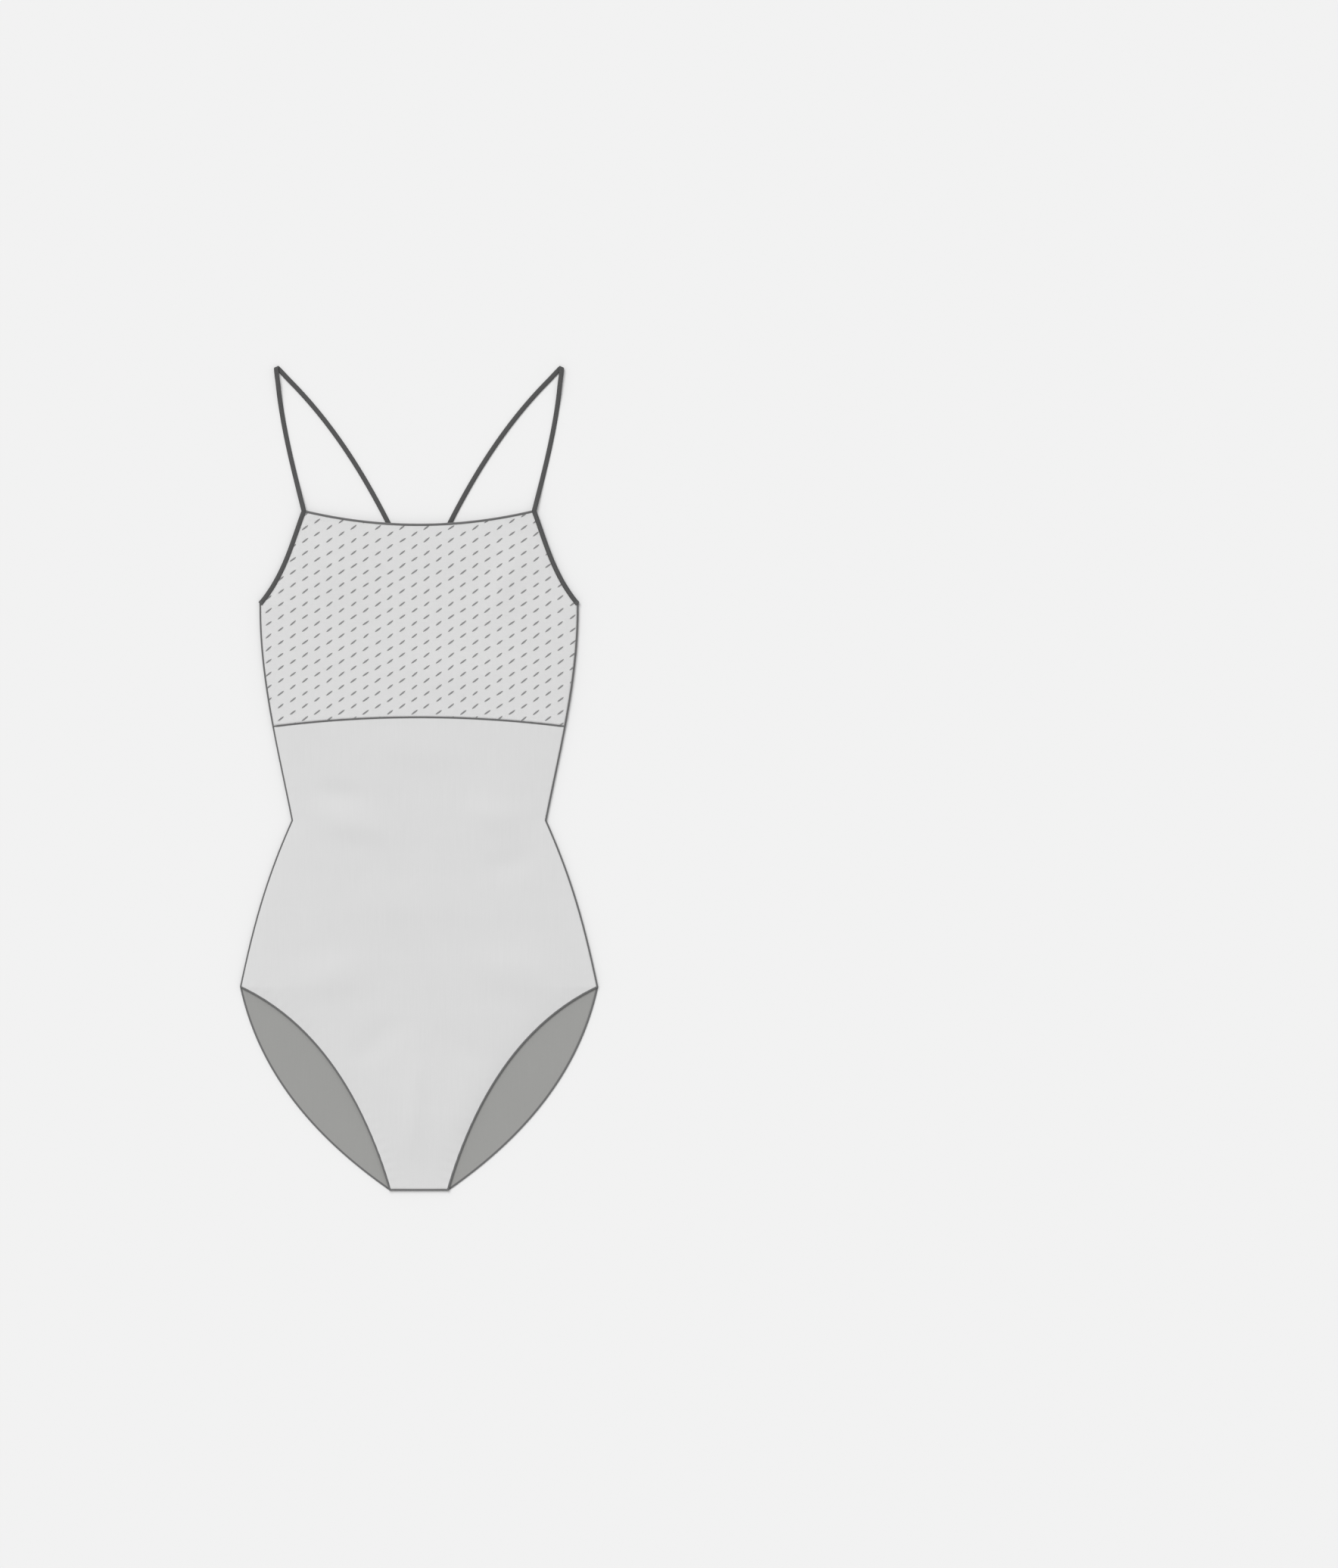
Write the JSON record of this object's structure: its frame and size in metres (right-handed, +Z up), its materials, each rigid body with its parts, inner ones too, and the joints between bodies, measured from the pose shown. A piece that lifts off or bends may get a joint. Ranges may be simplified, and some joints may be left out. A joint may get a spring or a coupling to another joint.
{
  "type": "ballet leotard",
  "caption": "Camisole ballet leotard laid flat, with sheer net yokes, thin bound straps that cross at the back, bound armholes and neckline, and high-cut legs.",
  "frame": {"origin": "on the surface the leotard lies on, at the middle of its width and of its length", "axes": "+Z up out of the front, +Y along the length towards the straps, +X to the right as the front is looked at"},
  "size_m": [0.3218, 0.74, 0.0066],
  "materials": {
    "jersey": "matte fine-knit stretch jersey, pale grey",
    "jersey_inside": "wrong side of the same jersey, a darker grey",
    "lining": "thin matte knit lining, pale grey",
    "net": "sheer stretch net with short raised thread dashes",
    "elastic": "charcoal folded elastic strip with a soft sheen",
    "edging": "mid-grey narrow elastic edging"
  },
  "bodies": {
    "root": {"front_body": "jersey", "front_lining": "lining", "front_yoke": "net", "neck_binding": "edging", "armhole_binding_left": "elastic", "armhole_binding_right": "elastic", "strap_left": "elastic", "strap_right": "elastic", "back_body": "jersey_inside", "back_yoke": "net", "back_binding_left": "elastic", "back_binding_right": "elastic", "leg_binding_front_left": "edging", "leg_binding_front_right": "edging", "leg_binding_back_left": "edging", "leg_binding_back_right": "edging"}
  },
  "joints": []
}
